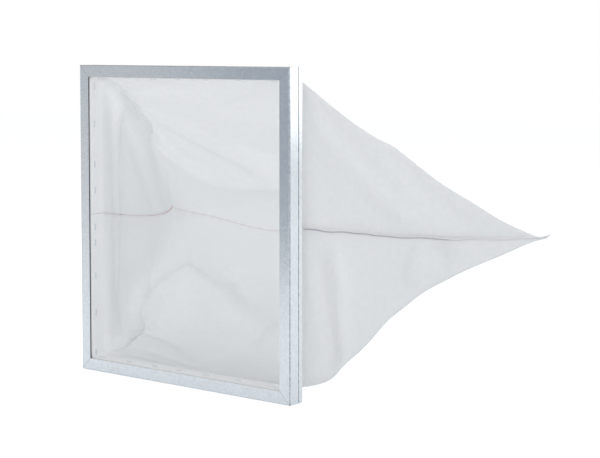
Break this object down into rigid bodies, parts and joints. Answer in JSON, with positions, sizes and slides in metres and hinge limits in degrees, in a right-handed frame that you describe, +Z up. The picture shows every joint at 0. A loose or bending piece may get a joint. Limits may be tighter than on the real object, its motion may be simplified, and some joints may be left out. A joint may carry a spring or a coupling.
{
  "type": "bag air filter",
  "caption": "Square-mouthed cloth bag, sewn as an envelope that flares to a flat back seam, stapled into a mitred steel channel header frame.",
  "frame": {"origin": "middle of the underside of the bottom rail", "axes": "+Z up the header frame, +Y from its front face back along the bag, +X to the right seen from the front"},
  "size_m": [0.6648, 0.3466, 0.4],
  "materials": {
    "galvanised_sheet": "bright zinc with a fine spangle",
    "strip_steel": "plain cold-rolled",
    "staple_wire": "bright zinc plated",
    "filter_cloth": "needled polyester felt, matt"
  },
  "bodies": {
    "root": {"bag_lower_panel": "filter_cloth", "bag_upper_panel": "filter_cloth", "corner_key_1": "strip_steel", "corner_key_2": "strip_steel", "corner_key_3": "strip_steel", "corner_key_4": "strip_steel", "rail_bottom": "galvanised_sheet", "rail_left": "galvanised_sheet", "rail_right": "galvanised_sheet", "rail_top": "galvanised_sheet", "retaining_strip_bottom": "strip_steel", "retaining_strip_left": "strip_steel", "retaining_strip_right": "strip_steel", "retaining_strip_top": "strip_steel", "staple_bottom_1": "staple_wire", "staple_bottom_2": "staple_wire", "staple_bottom_3": "staple_wire", "staple_bottom_4": "staple_wire", "staple_bottom_5": "staple_wire", "staple_bottom_6": "staple_wire", "staple_bottom_7": "staple_wire", "staple_left_1": "staple_wire", "staple_left_2": "staple_wire", "staple_left_3": "staple_wire", "staple_left_4": "staple_wire", "staple_left_5": "staple_wire", "staple_left_6": "staple_wire", "staple_left_7": "staple_wire", "staple_left_8": "staple_wire", "staple_left_9": "staple_wire", "staple_right_1": "staple_wire", "staple_right_2": "staple_wire", "staple_right_3": "staple_wire", "staple_right_4": "staple_wire", "staple_right_5": "staple_wire", "staple_right_6": "staple_wire", "staple_right_7": "staple_wire", "staple_right_8": "staple_wire", "staple_right_9": "staple_wire", "staple_top_1": "staple_wire", "staple_top_2": "staple_wire", "staple_top_3": "staple_wire", "staple_top_4": "staple_wire", "staple_top_5": "staple_wire", "staple_top_6": "staple_wire", "staple_top_7": "staple_wire"}
  },
  "joints": []
}
